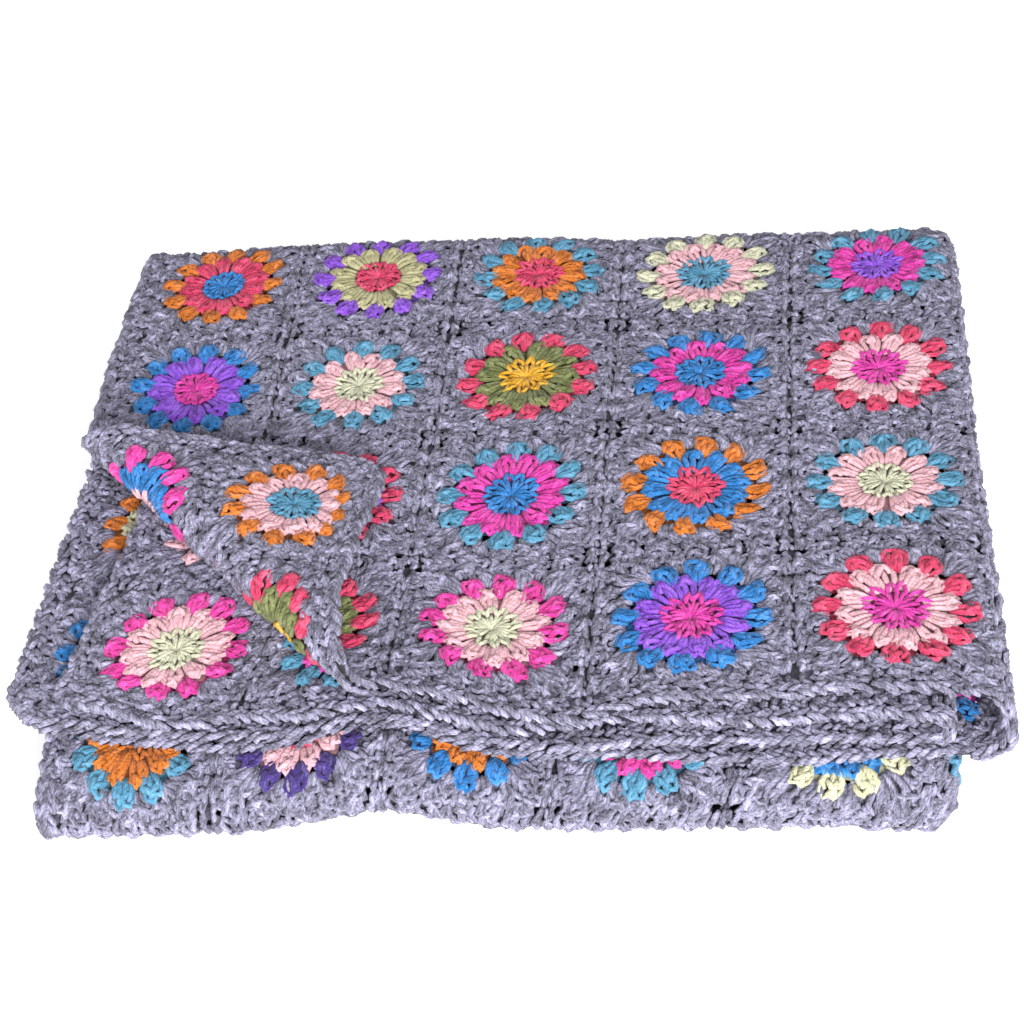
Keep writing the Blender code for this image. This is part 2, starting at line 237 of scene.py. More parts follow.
def walk(path, fraction):
    """y and z at a fraction of a path's length."""
    length = np.append(0, np.cumsum(np.hypot(*np.diff(path, axis=0).T)))
    s = np.clip(fraction, 0, 1) * length[-1]
    return np.interp(s, length, path[:, 0]), np.interp(s, length, path[:, 1])


def layer_line(number, along, place):
    """y and z of a layer at one place across the pile, at distances from the front fold."""
    layer = LAYERS[number]
    end = layer.bend_end_left if place == LEFT else layer.bend_end_right
    turn = pi * np.clip((BEND_START - along) / (BEND_START - end), 0, 1)
    run = np.clip((along - BEND_START) / (HALF_LENGTH - BEND_START), 0, None)
    y = BEND_Y + layer.depth * LAYER * np.sin(turn) - run * (BEND_Y - layer.front_y)
    z = BEND_Z + layer.depth * LAYER * np.cos(turn)
    lower = walk(lower_run(number, place), 1 - along / end)
    return np.where(along < end, lower, (y, z))


def layer_surface(number, along, t, inboard):
    """y and z of a layer at t, from 0 at the side fold to 1 at the left edge."""
    line = {place: layer_line(number, along, place) for place in (LEFT, RIGHT, CORNER)}
    surface = line[RIGHT] + (line[LEFT] - line[RIGHT]) * smooth(t)
    turn = LOWER_TURN if number in (1, 2) else UPPER_TURN
    return line[CORNER] + (surface - line[CORNER]) * smooth(inboard, *turn)


def layer_number(u, v):
    """Number of the layer that a point of the cloth lies in."""
    turned = u < at_station(SIDE_FOLD_U, np.abs(v))
    return np.where(v >= 0, np.where(turned, 1, 4), np.where(turned, 2, 3))


def between(outer, inner, weight):
    """outer where the weight is 1, inner where it is -1."""
    return (outer + inner) / 2 + (outer - inner) / 2 * weight


def fold_sheet(u, v, number):
    """x, y and z of the folded sheet, before its front is shaped."""
    along = np.abs(v)
    weight = np.sin(pi / 2 * np.clip(v / SEAM_BLEND, -1, 1))
    side = np.where(number >= 3, 1.0, -1.0)
    fold_u = at_station(SIDE_FOLD_U, along)
    across = np.abs(u - fold_u)
    width = HALF_WIDTH - side * fold_u
    inboard = across - LOOP_SLACK * (1 + weight)
    layer = {n: layer_surface(n, along, across / width, inboard) for n in LAYERS}
    near = np.where(v >= 0, layer[4], layer[3])
    far = np.where(v >= 0, layer[1], layer[2])
    half = (near - far) / 2

    # the side loop is a half ellipse between the two layers, and the rest runs to the left
    reach = between(at_station(OUTER_REACH, along), at_station(INNER_REACH, along), weight)
    loop = LOOP_HALF_WIDTH + LOOP_GROWTH * weight
    quarter = pi / 2 * np.sqrt((loop ** 2 + half[0] ** 2 + half[1] ** 2) / 2)
    turn = pi / 2 * (1 - np.clip(across / quarter, 0, 1))
    left_near = between(at_station(LEFT_EDGE[4], along), at_station(LEFT_EDGE[3], along), weight)
    left_far = between(at_station(LEFT_EDGE[1], along), at_station(LEFT_EDGE[2], along), weight)
    left = np.where(side > 0, left_near, left_far)
    upper = smooth(along, 1.5 * SQUARE, 6.0 * SQUARE)
    crowd = of_layer("crowd", number) * upper + LOWER_CROWD * (1 - upper)
    f = np.clip((across - quarter) / (width - quarter), 0, None)
    f = f + crowd * f * (f - 1)
    x = reach - loop + loop * np.sin(turn) + (left - reach + loop) * f
    y, z = (near + far) / 2 + half * side * np.cos(turn)
    return x, y, z


def draw_back(x, y, v, number):
    """Draw back the front edges of the upper packet, most at the front left corner."""
    run = np.clip((BEND_Y - y) / (BEND_Y - LAYERS[1].front_y), 0, 1)
    left = of_layer("left_pull", number) * smooth(-x, *LEFT_ZONE) * run ** 1.6
    right = of_layer("right_pull", number) * smooth(x, *RIGHT_ZONE) * run ** 2
    edge = smooth(np.abs(v), HALF_LENGTH - HEM_RUN, HALF_LENGTH)
    hem_x = of_layer("hem_x", number)
    hem = of_layer("hem_pull", number) * edge * smooth(hem_x - x, 0.0, HEM_SPREAD)
    ease = 1 - HEM_EASE * smooth(-x, *HEM_EASE_ZONE)
    return y + smooth(np.abs(v), *UPPER_PACKET) * (left + right + hem * ease)


def shape_front(x, y):
    """Dent the front and lean it forward to the right."""
    dent = DENT_DEPTH * bell(x, DENT_X, DENT_WIDTH)
    return y + smooth(-y, *FRONT_ZONE) * (dent - FRONT_LEAN * x)


def wave_front(x, y, z, v, number):
    """Wave the front edges of the upper packet."""
    edge = smooth(np.abs(v), HALF_LENGTH - WAVE_RUN, HALF_LENGTH)
    for wave in FRONT_WAVES:
        amount = edge * bell(x, wave.x, wave.width)
        y = y - amount * wave.forward * (number == wave.layer)
        z = z + amount * wave.lift * (number <= wave.layer)
    return y, z


def swell(x, y, z):
    """Long low waves, which grow from nothing at the floor."""
    height = np.clip((z - FLOOR_LAYER) / UPPERMOST, 0, 1.2)
    return z + height * sum(s.height * np.sin(s.across * x + s.back * y + s.phase) for s in SWELLS)


def turn_corner(x, y, z, v, number):
    """Roll the front left corner of layer 1 over its crease and lay it on the pile."""
    axis = CREASE_FRONT - CREASE_LEFT
    span = np.hypot(*axis)
    axis = axis / span
    outward = np.array((axis[1], -axis[0]))
    rel_x, rel_y = x - CREASE_LEFT[0], y - CREASE_LEFT[1]
    on_crease = rel_x * axis[0] + rel_y * axis[1]
    beyond = rel_x * outward[0] + rel_y * outward[1]
    radius = CURL_RADIUS[0] + (CURL_RADIUS[1] - CURL_RADIUS[0]) * np.clip(on_crease / span, -0.3, 1.3)
    rolled = beyond + radius
    turn = np.clip(rolled / radius, 0, pi)
    over = np.clip(rolled - pi * radius, 0, None)
    shift = -radius + radius * np.sin(turn) - over * FLAP_CROWD
    hem = smooth(np.abs(v), HALF_LENGTH - HEM_RUN, HALF_LENGTH)
    sink = FLAP_SINK * smooth(over, 0, FLAP_SINK_RUN) + HEM_SINK * hem * smooth(over, 0, HEM_SINK_RUN)
    turned = (number == 1) & (v > UPPER_PACKET[0]) & (rolled > 0)
    x = np.where(turned, CREASE_LEFT[0] + on_crease * axis[0] + shift * outward[0], x)
    y = np.where(turned, CREASE_LEFT[1] + on_crease * axis[1] + shift * outward[1], y)
    z = np.where(turned, z + radius * (1 - np.cos(turn)) - sink, z)
    return x, y, z


def lay_out(u, v):
    """Where points of the open sheet's middle surface lie in the folded pile."""
    number = layer_number(u, v)
    x, y, z = fold_sheet(u, v, number)
    y = draw_back(x, y, v, number)
    y = shape_front(x, y)
    y, z = wave_front(x, y, z, v, number)
    x = x + SKEW * y
    x, y, z = turn_corner(x, y, z, v, number)
    z = swell(x, y, z)
    return np.stack([x - PILE_CENTRE[0], y - PILE_CENTRE[1], z], 1)


def round_corners(u, v):
    """Draw the sheet's four corners in to arcs."""
    du = np.clip(np.abs(u) - (HALF_WIDTH - CORNER_RADIUS), 0, None)
    dv = np.clip(np.abs(v) - (HALF_LENGTH - CORNER_RADIUS), 0, None)
    reach = np.maximum(np.hypot(du, dv), 1e-9)
    shrink = np.maximum(du, dv) / reach
    return u - np.sign(u) * du * (1 - shrink), v - np.sign(v) * dv * (1 - shrink)


# ---- the folds, sampled
STEP = SQUARE / 48  # of the samples, along the open sheet
BEYOND = 0.012      # how far the samples reach past the sheet's edges

# Folding stretches the sheet round the outer back bend. There the squares keep their size from
# the last of these seams back to the middle one, and the rest is taken up to the first.
EVEN_ROWS = (1, 3, 5)         # squares from the front fold
EVEN_COLUMNS = (-0.8, -0.25)  # squares from the middle, over which this fades out


def unit(vectors):
    return vectors / np.maximum(np.linalg.norm(vectors, axis=-1, keepdims=True), 1e-12)


def sample_axis(half):
    count = int(np.ceil((half + BEYOND) / STEP))
    return np.arange(-count, count + 1) * STEP


def even_out(u, v, points):
    """Where to sample each line of the sheet, so that its squares keep their size."""
    first, middle, last = np.array(EVEN_ROWS) * SQUARE
    span = (v > first - STEP / 2) & (v < last + STEP / 2)
    rows = np.tile(v, (len(u), 1))
    for line, x in enumerate(u):
        steps = np.linalg.norm(np.diff(points[line, span], axis=0), axis=1)
        length = np.append(0, np.cumsum(steps))
        wanted = length[-1] - (last - v[span])
        start = length[-1] - (last - middle)
        wanted = np.where(v[span] > middle, wanted, start * (v[span] - first) / (middle - first))
        share = 1 - smooth(x / SQUARE, *EVEN_COLUMNS)
        rows[line, span] += share * (np.interp(wanted, length, v[span]) - v[span])
    return rows


def sample_folds():
    """First sample, points and unit normals of the folded sheet, at even steps of the open one."""
    u, v = sample_axis(HALF_WIDTH), sample_axis(HALF_LENGTH)
    grid = np.meshgrid(u, v, indexing="ij")
    points = lay_out(grid[0].ravel(), grid[1].ravel()).reshape(len(u), len(v), 3)
    rows = even_out(u, v, points)
    points = lay_out(grid[0].ravel(), rows.ravel()).reshape(points.shape)
    normals = np.cross(np.gradient(points, axis=1), np.gradient(points, axis=0))
    return u[0], v[0], points, unit(normals)


def on_folds(u, v, height):
    """Points at heights from the sheet's middle surface, and the normals there."""
    first_u, first_v, points, normals = FOLDS
    i, j = (u - first_u) / STEP, (v - first_v) / STEP
    i0 = np.clip(np.floor(i).astype(int), 0, points.shape[0] - 2)
    j0 = np.clip(np.floor(j).astype(int), 0, points.shape[1] - 2)
    fi, fj = (i - i0)[..., None], (j - j0)[..., None]
    weights = ((0, 0, (1 - fi) * (1 - fj)), (1, 0, fi * (1 - fj)),
               (0, 1, (1 - fi) * fj), (1, 1, fi * fj))
    point = sum(w * points[i0 + a, j0 + b] for a, b, w in weights)
    normal = unit(sum(w * normals[i0 + a, j0 + b] for a, b, w in weights))
    return point + height[..., None] * normal, normal


# ---- colours
YARNS = {  # sRGB
    "grey": (0.54, 0.53, 0.62),
    "teal": (0.36, 0.63, 0.77),
    "blue": (0.17, 0.53, 0.83),
    "violet": (0.60, 0.34, 0.90),
    "magenta": (0.93, 0.24, 0.70),
    "hot_pink": (0.97, 0.26, 0.68),
    "coral": (0.92, 0.26, 0.44),
    "orange": (0.90, 0.50, 0.14),
    "yellow": (0.97, 0.72, 0.16),
    "olive": (0.52, 0.55, 0.33),
    "khaki": (0.78, 0.76, 0.58),
    "cream": (0.90, 0.89, 0.74),
    "pale_green": (0.87, 0.87, 0.76),
    "pale_pink": (0.97, 0.76, 0.80),
    "purple": (0.30, 0.21, 0.54),
}
YARN_NAMES = list(YARNS)
GREY = 0

# Colours of a square's three rounds, from the middle out, by the square's column and row.
# Columns run from -5 to -1 and 1 to 5 across the open sheet, rows from -8 to -1 and 1 to 8.
SQUARE_COLOURS = {
    (-5, 5): "blue coral orange", (-4, 5): "coral khaki violet", (-3, 5): "coral orange teal",
    (-2, 5): "teal pale_pink pale_green", (-1, 5): "violet magenta teal",
    (-5, 6): "magenta violet blue", (-4, 6): "pale_green pale_pink teal",
    (-3, 6): "yellow olive coral", (-2, 6): "blue magenta blue", (-1, 6): "magenta pale_pink coral",
    (-5, 7): "pale_pink blue hot_pink", (-4, 7): "yellow violet coral",
    (-3, 7): "blue magenta teal", (-2, 7): "coral blue orange", (-1, 7): "pale_green pale_pink teal",
    (-5, 8): "teal pale_pink orange", (-4, 8): "yellow olive coral",
    (-3, 8): "pale_green pale_pink hot_pink", (-2, 8): "magenta violet blue",
    (-1, 8): "magenta pale_pink coral",
    (-5, -8): "pale_green pale_pink hot_pink", (-4, -8): "coral magenta teal",
    (-5, -7): "coral khaki pale_pink", (5, -7): "coral cream orange", (5, -8): "magenta coral blue",
    (5, 1): "orange orange teal", (4, 1): "coral pale_pink purple", (3, 1): "coral orange blue",
    (2, 1): "yellow hot_pink teal", (1, 1): "coral blue cream", (-1, 1): "blue magenta teal",
}
CENTRES = "magenta coral blue yellow pale_green teal violet".split()
MIDDLES = "pale_pink violet orange magenta blue khaki olive coral".split()
OUTERS = "teal coral blue hot_pink orange cream".split()


def number_of(position):
    """Column or row number of a square from its place in the list of them, with no 0."""
    return position if position < 0 else position + 1


def colours_of(column, row):
    named = SQUARE_COLOURS.get((column, row))
    if named:
        return [YARN_NAMES.index(name) for name in named.split()]
    turn = 3 * column + 5 * row
    names = (CENTRES[turn % len(CENTRES)], MIDDLES[(turn + row) % len(MIDDLES)],
             OUTERS[(turn + column) % len(OUTERS)])
    return [YARN_NAMES.index(name) for name in names]


def colour_table():
    """Yarn of each round, 3 being the grey one, for each square of the open sheet."""
    table = np.zeros((2 * HALF_COLUMNS, 2 * HALF_ROWS, 4), int)
    for i in range(2 * HALF_COLUMNS):
        for j in range(2 * HALF_ROWS):
            table[i, j, :3] = colours_of(number_of(i - HALF_COLUMNS), number_of(j - HALF_ROWS))
    return table


# ---- materials
def linear(colour):
    return [c / 12.92 if c <= 0.04045 else ((c + 0.055) / 1.055) ** 2.4 for c in colour]


def shade(colour, factor, highlight_whitening=0.0):
    """The colour darker or lighter, and mixed with some white, which is painted highlight."""
    return (*[min(1.0, c * factor) * (1 - highlight_whitening) + highlight_whitening for c in linear(colour)], 1.0)


# Darkest and lightest fibres, times the colour, which are the yarn's own fibre tones, and white mixed into
# the lightest as painted highlight
GREY_YARN, PLAIN_YARN, PALE_YARN = (0.16, 2.6, 0.0), (0.36, 1.35, 0.12), (0.58, 1.15, 0.12)
PALE = [YARNS[name] for name in ("khaki", "cream", "pale_green", "pale_pink")]
DARKEST, PLAIN, LIGHTEST = 0.37, 0.50, 0.65  # tones that have the darkest, own and lightest colour

YARN_SURFACE = {"Roughness": 0.95, "Sheen Weight": 0.2, "Sheen Roughness": 0.6, "Specular IOR Level": 0.12}

# Noise and ply: turn in degrees, and spots per metre along and around a strand, or in space
FIBRES = (22, (260, 1300, 1))
PATCHES = (0, (95, 150, 1))
AREAS = (0, (120, 120, 120))
PLY = (35, (1, 1, 1))
PLY_PITCH = 2.3 * MM
PATCH_SHARE, PLY_SHARE, AREA_SHARE = 0.5, 0.06, 0.22  # of the tone, each mixed in after the last
BUMP_PLY_SHARE, BUMP_STRENGTH, BUMP_DEPTH = 0.25, 0.9, 1.0 * MM


def set_inputs(node, values):
    for name, value in values.items():
        node.inputs[name].default_value = value


def mapped(tree, place, setting):
    """Coordinates turned and scaled."""
    turn, scale = setting
    mapping = tree.nodes.new("ShaderNodeMapping")
    set_inputs(mapping, {"Rotation": (0, 0, radians(turn)), "Scale": scale})
    tree.links.new(place, mapping.inputs["Vector"])
    return mapping.outputs["Vector"]


def noise(tree, place, setting, detail):
    texture = tree.nodes.new("ShaderNodeTexNoise")
    set_inputs(texture, {"Scale": 1.0, "Detail": detail})
    tree.links.new(mapped(tree, place, setting), texture.inputs["Vector"])
    return texture.outputs["Fac"]


def blended(tree, first, second, share):
    """Mix of two values, with that share of the second."""
    mix = tree.nodes.new("ShaderNodeMix")
    mix.inputs["Factor"].default_value = share
    tree.links.new(first, mix.inputs["A"])
    tree.links.new(second, mix.inputs["B"])
    return mix.outputs["Result"]


def colour_ramp(tree, colour, painted_shade):
    """Tone to colour, from the darkest fibres to the lightest, darkened by a factor below 1 for painted
    shade.
    """
    low, high, white = PLAIN_YARN
    if colour == YARNS["grey"]:
        low, high, white = GREY_YARN
    elif colour in PALE:
        low, high, white = PALE_YARN
    ramp = tree.nodes.new("ShaderNodeValToRGB")
    first, last = ramp.color_ramp.elements
    first.position, first.color = DARKEST, shade(colour, low * painted_shade)
    # the lightest fibres carry white as painted highlight
    last.position, last.color = LIGHTEST, shade(colour, high * painted_shade, white * painted_shade)
    ramp.color_ramp.elements.new(PLAIN).color = shade(colour, painted_shade)
    return ramp


def yarn_material(name, colour, painted_shade=1.0):
    """Fuzzy yarn: darker and lighter fibres along each strand, heathered in patches, and its ply; a factor
    below 1 darkens it all as painted shade, for the core between the strands.
    """
    material = bpy.data.materials.new(name)
    material.use_nodes = True
    tree = material.node_tree
    shader = tree.nodes["Principled BSDF"]
    set_inputs(shader, YARN_SURFACE)

    strand_map = tree.nodes.new("ShaderNodeUVMap")
    strand_map.uv_map = "strand"
    place = strand_map.outputs["UV"]
    in_space = tree.nodes.new("ShaderNodeTexCoord").outputs["Object"]
    fibres = noise(tree, place, FIBRES, 2.0)
    patches = noise(tree, place, PATCHES, 1.0)
    areas = noise(tree, in_space, AREAS, 1.0)
    ply = tree.nodes.new("ShaderNodeTexWave")
    set_inputs(ply, {"Scale": 2 * pi / (20 * PLY_PITCH), "Distortion": 4.0, "Detail Scale": 2.0})
    tree.links.new(mapped(tree, place, PLY), ply.inputs["Vector"])
    tone = blended(tree, fibres, patches, PATCH_SHARE)
    tone = blended(tree, tone, ply.outputs["Fac"], PLY_SHARE)
    tone = blended(tree, tone, areas, AREA_SHARE)

    ramp = colour_ramp(tree, colour, painted_shade)
    tree.links.new(tone, ramp.inputs["Fac"])
    tree.links.new(ramp.outputs["Color"], shader.inputs["Base Color"])

    bump = tree.nodes.new("ShaderNodeBump")
    set_inputs(bump, {"Strength": BUMP_STRENGTH, "Distance": BUMP_DEPTH})
    tree.links.new(blended(tree, fibres, ply.outputs["Fac"], BUMP_PLY_SHARE), bump.inputs["Height"])
    tree.links.new(bump.outputs["Normal"], shader.inputs["Normal"])
    return material


# ---- the sheet under the stitches
CELL = SQUARE / 20
LINES = np.array((0.0, 1.5, 2.5, 4.5, 5.5, 6.5, 8.5, 9.5))  # cells from a square's middle
GAP_CELLS = {(10, 10), (9, 9), (9, 5), (5, 9), (6, 2), (2, 6), (5, 5)}  # columns and rows of holes
ROUND_RADII = (15.0 * MM, 30.0 * MM, 42.0 * MM)  # where each round's colour ends
SEAM_SHADE = 52.0 * MM  # from a square's middle, beyond which the sheet is darkest
# Painted shade: the core seen between the strands is darkened to stand for the shade down among them, and
# darkened most where no direction sees it and beyond SEAM_SHADE
CORE_PAINTED_SHADE, SHADE_DIMMING = 0.6, 0.24


def sheet_axis(half_squares, half_size):
    middles = (np.arange(-half_squares, half_squares) + 0.5) * SQUARE
    within = np.concatenate([-LINES[:0:-1], LINES]) * CELL
    outer = half_squares * SQUARE + 0.5 * CELL
    lines = np.concatenate([[-half_size, -outer], (middles[:, None] + within).ravel(), [outer, half_size]])
    return np.sort(lines)


def place_in_square(position, half_squares):
    """Square's place in the list of them, and the distance from its middle."""
    index = np.clip(np.floor(position / SQUARE).astype(int), -half_squares, half_squares - 1)
    return index + half_squares, position - (index + 0.5) * SQUARE


def core_mesh(with_gaps):
    """The sheet's middle surface, with its holes, as points, quads and their middles."""
    u, v = sheet_axis(HALF_COLUMNS, HALF_WIDTH), sheet_axis(HALF_ROWS, HALF_LENGTH)
    grid = np.meshgrid(u, v, indexing="ij")
    flat = round_corners(grid[0].ravel(), grid[1].ravel())
    points, _ = on_folds(*flat, np.zeros(len(flat[0])))
    index = np.arange(len(u) * len(v)).reshape(len(u), len(v))
    quads = np.stack([index[:-1, :-1], index[1:, :-1], index[1:, 1:], index[:-1, 1:]], -1).reshape(-1, 4)
    middles = np.stack(flat, 1)[quads].mean(1)
    if with_gaps:
        _, a = place_in_square(middles[:, 0], HALF_COLUMNS)
        _, b = place_in_square(middles[:, 1], HALF_ROWS)
        cells = np.rint(np.abs(np.stack([a, b], 1)) / CELL).astype(int)
        inside = np.abs(middles[:, 0]) < HALF_COLUMNS * SQUARE - CELL
        inside &= np.abs(middles[:, 1]) < HALF_ROWS * SQUARE - CELL
        gap = inside & np.array([tuple(cell) in GAP_CELLS for cell in cells.tolist()])
        quads, middles = quads[~gap], middles[~gap]
    return points, quads, middles


def new_mesh(name, points, corners, starts):
    """A mesh from arrays: points, the point of each face corner, and each face's first corner."""
    mesh = bpy.data.meshes.new(name)
    mesh.vertices.add(len(points))
    mesh.vertices.foreach_set("co", points.astype(np.float32).ravel())
    mesh.loops.add(len(corners))
    mesh.loops.foreach_set("vertex_index", corners.astype(np.int32))
    mesh.polygons.add(len(starts))
    mesh.polygons.foreach_set("loop_start", starts.astype(np.int32))
    mesh.update(calc_edges=True)
    mesh.shade_smooth()
    return mesh


def add_piece(name, mesh, material_numbers, materials, uv):
    """A piece of the blanket, with a yarn for each face and its own strand coordinates."""
    used, numbers = np.unique(material_numbers, return_inverse=True)
    for number in used:
        mesh.materials.append(materials[number])
    mesh.polygons.foreach_set("material_index", numbers.astype(np.int32).ravel())
    layer = mesh.uv_layers.new(name="strand")
    layer.data.foreach_set("uv", uv.astype(np.float32).ravel())
    piece = add_object(name, mesh)
    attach(piece, "root")
    return piece


def add_core(materials):
    points, quads, middles = core_mesh(with_gaps=True)
    mesh = new_mesh("crochet_core", points, quads.ravel(), np.arange(len(quads)) * 4)
    i, a = place_in_square(middles[:, 0], HALF_COLUMNS)
    j, b = place_in_square(middles[:, 1], HALF_ROWS)
    round_number = np.searchsorted(ROUND_RADII, np.hypot(a, b))
    numbers = COLOURS[i, j, round_number]
    hidden = ~(is_seen(middles[:, 0], middles[:, 1], 0) | is_seen(middles[:, 0], middles[:, 1], 1))
    # painted deep shade on the core that can't be seen from outside and in the seam zone
    numbers[hidden | (np.maximum(np.abs(a), np.abs(b)) > SEAM_SHADE)] = len(YARNS)
    corners_uv = points[quads.ravel()][:, :2]
    return add_piece("crochet_core", mesh, numbers, materials, corners_uv)


# ---- what can be seen
LOOKS = 40           # directions tried
LEAST_SIGHT = 2      # and those from which a stitch has to be seen
LEAST_FACING = 0.12  # cosine between such a direction and the normal
FARTHEST = 1.0       # metres that a line of sight is followed
SIGHT_CELLS = 14     # to a square
STANDOFF = 3.4 * MM


def sight_directions():
    """Even directions over the upper half of a sphere."""
    n = np.arange(LOOKS) + 0.5
    z = n / LOOKS
    turn = pi * (1 + 5 ** 0.5) * n
    flat = np.sqrt(1 - z * z)
    return np.stack([flat * np.cos(turn), flat * np.sin(turn), z], 1)


def sight_map():
    """For each small cell of the sheet and each of its sides, how many directions it is seen from."""
    points, quads, _ = core_mesh(with_gaps=False)
    tree = BVHTree.FromPolygons(points.tolist(), quads.tolist())
    count_u, count_v = 2 * HALF_COLUMNS * SIGHT_CELLS + 2, 2 * HALF_ROWS * SIGHT_CELLS + 2
    u = (np.arange(count_u) - (count_u - 1) / 2) * SQUARE / SIGHT_CELLS
    v = (np.arange(count_v) - (count_v - 1) / 2) * SQUARE / SIGHT_CELLS
    u, v = np.meshgrid(u, v, indexing="ij")
    seen = np.zeros((2, count_u, count_v), int)
    directions = sight_directions()
    vectors = [Vector(d) for d in directions]
    for side, sign in enumerate((1, -1)):
        start, normal = on_folds(u, v, np.full(u.shape, sign * STANDOFF))
        facing = (normal * sign) @ directions.T > LEAST_FACING
        for i in range(count_u):
            for j in range(count_v):
                origin = Vector(start[i, j])
                seen[side, i, j] = sum(tree.ray_cast(origin, vectors[k], FARTHEST)[0] is None
                                       for k in np.flatnonzero(facing[i, j]))
    return seen


def sight_cell(position, count):
    cell = np.rint(position / SQUARE * SIGHT_CELLS + (count - 1) / 2).astype(int)
    return np.clip(cell, 0, count - 1)


def is_seen(u, v, side):
    """Whether places on one side of the sheet can be seen."""
    _, count_u, count_v = SIGHT.shape
    return SIGHT[side, sight_cell(u, count_u), sight_cell(v, count_v)] >= LEAST_SIGHT


# ---- strands
# A strand is a row of places (across, along, height) in millimetres, with a yarn radius. All
# strands have the same number of places: the ends, and rings between them.
ALONG = np.array((0.0, 0.06, 0.34, 0.66, 0.94, 1.0))
FILL = np.array((0.0, 0.80, 1.05, 1.05, 0.80, 0.0))  # thickness at those places
Strand = namedtuple("Strand", "places radius round")


def curve_through(points, at):
    """Smooth curve through control points, read at fractions of its length."""
    points = np.asarray(points, float)
    knots = np.append(0, np.cumsum(np.linalg.norm(np.diff(points, axis=0), axis=1)))
    slopes = np.gradient(points, knots, axis=0)
    s = np.asarray(at) * knots[-1]
    i = np.clip(np.searchsorted(knots, s, side="right") - 1, 0, len(knots) - 2)
    span = (knots[i + 1] - knots[i])[:, None]
    f = ((s - knots[i])[:, None]) / span
    return ((1 + 2 * f) * (1 - f) ** 2 * points[i] + f * (1 - f) ** 2 * span * slopes[i]
            + f * f * (3 - 2 * f) * points[i + 1] - f * f * (1 - f) * span * slopes[i + 1])


def strand(points, radius, round_number):
    return Strand(curve_through(points, ALONG), radius, round_number)


# A cluster. half: half widths at the foot, shoulder and tip. strands: fewest and most.
# shoulder: how far along the head begins. rise: its height. crown: how much lower its sides are.
Cluster = namedtuple("Cluster", "half strands shoulder radius rise crown round")
MIDDLE = Cluster((2.4, 6.5, 4.8), (3, 4), 0.60, 1.95, 2.9, 0.25, 1)
OUTER = Cluster((2.2, 7.4, 5.2), (3, 4), 0.50, 2.1, 3.1, 0.35, 2)
GAP = Cluster((3.2, 7.8, 6.8), (4, 4), 0.50, 1.95, 2.8, 0.50, 3)
FILLER = Cluster((3.8, 5.8, 5.2), (3, 3), 0.48, 1.95, 2.3, 0.50, 3)
EDGE = Cluster((6.0, 8.2, 7.8), (4, 4), 0.45, 1.95, 2.7, 0.50, 3)

# How clusters differ: least and most, times their own size; and the slip of a place, mm
LENGTHS, WIDTHS, RISES = (0.93, 1.07), (0.88, 1.10), (0.88, 1.15)
SWING, SHOULDER_SHIFT, PLACE_SLIP = 0.09, 0.05, 0.25


def cluster(foot, tip, form, rng):
    """Strands that fan out from the foot to the shoulder, and a knotted head of loops."""
    foot, tip = np.array(foot, float), np.array(tip, float)
    length = np.hypot(*(tip - foot))
    ahead = (tip - foot) / length
    aside = np.array((-ahead[1], ahead[0]))
    length *= rng.uniform(*LENGTHS)
    swing = rng.uniform(-SWING, SWING)
    ahead, aside = ahead + aside * swing, aside - ahead * swing
    foot_half, shoulder_half, tip_half = np.array(form.half) * rng.uniform(*WIDTHS)
    rise = form.rise * rng.uniform(*RISES)
    shoulder = form.shoulder + rng.uniform(-SHOULDER_SHIFT, SHOULDER_SHIFT)

    def at(forward, sideways, height):
        slip = rng.normal(0, PLACE_SLIP, 2)
        place = foot + ahead * length * forward + aside * sideways + slip
        crown = 1 - form.crown * min(abs(sideways) / shoulder_half, 1.0) ** 2
        return (*place, height * rise * crown)

    made = []
    inner = 1 - form.radius / shoulder_half
    for s in np.linspace(-1, 1, rng.integers(form.strands[0], form.strands[1] + 1)):
        made.append(strand([
            at(0.0, s * foot_half, 0.35),
            at(0.25, s * (foot_half + shoulder_half) / 2 * inner, 0.85),
            at(shoulder, s * shoulder_half * inner, 1.0),
            at(shoulder + 0.28, s * shoulder_half * 0.6 * inner, 0.85)], form.radius, form.round))
    head = form.radius * 0.95
    for side in (-1, 1):
        made.append(strand([
            at(shoulder - 0.04, side * shoulder_half * 0.82, 0.75), at(0.86, side * tip_half * 1.1, 1.05),
            at(1.0, side * tip_half * 0.4, 0.85), at(0.84, -side * tip_half * 0.2, 1.3)],
            head, form.round))
        start = rng.uniform(0.3, 0.7)
        made.append(strand([
            at(shoulder - 0.04, side * shoulder_half * start, 0.95),
            at(0.5 + shoulder / 2, side * shoulder_half * rng.uniform(-0.2, 0.25), 1.45),
            at(0.95, -side * tip_half * rng.uniform(0.3, 0.8), 1.0)], head, form.round))
    return made


PETALS = 12
PETAL_TURN = 2 * pi / PETALS
CENTRE_STRANDS = 24
MIDDLE_SPAN = (14.0, 33.0)
OUTER_SPAN = (27.5, 45.0)
CONTOUR = 49.5  # half size of the square that the grey clusters reach
RIM = 55.4      # and of the one that the edge clusters reach


def around(radius, angle):
    return radius * np.cos(angle), radius * np.sin(angle)


def centre_round(rng):
    """Spokes drawn into the middle, and a ring of small points that reach over the next round."""
    made = []
    for k in range(CENTRE_STRANDS):
        angle = 2 * pi * (k + rng.uniform(-0.2, 0.2)) / CENTRE_STRANDS
        made.append(strand([(*around(0.6, angle), 0.3), (*around(4.5, angle), 1.9),
                            (*around(9.5, angle), 2.5), (*around(13.5, angle), 1.4)], 1.3, 0))
    reach = rng.uniform(16.0, 22.5)
    for k in range(PETALS):
        angle = (k + 0.5) * PETAL_TURN + rng.uniform(-0.08, 0.08)
        tip = reach + rng.uniform(-1.2, 1.2)
        for side in (-1, 1):
            made.append(strand([(*around(10.8, angle + side * 0.27), 1.8),
                                (*around(14.0, angle + side * rng.uniform(0.12, 0.2)), 3.0),
                                (*around(tip, angle - side * 0.02), 2.4)], 1.5, 0))
    return made


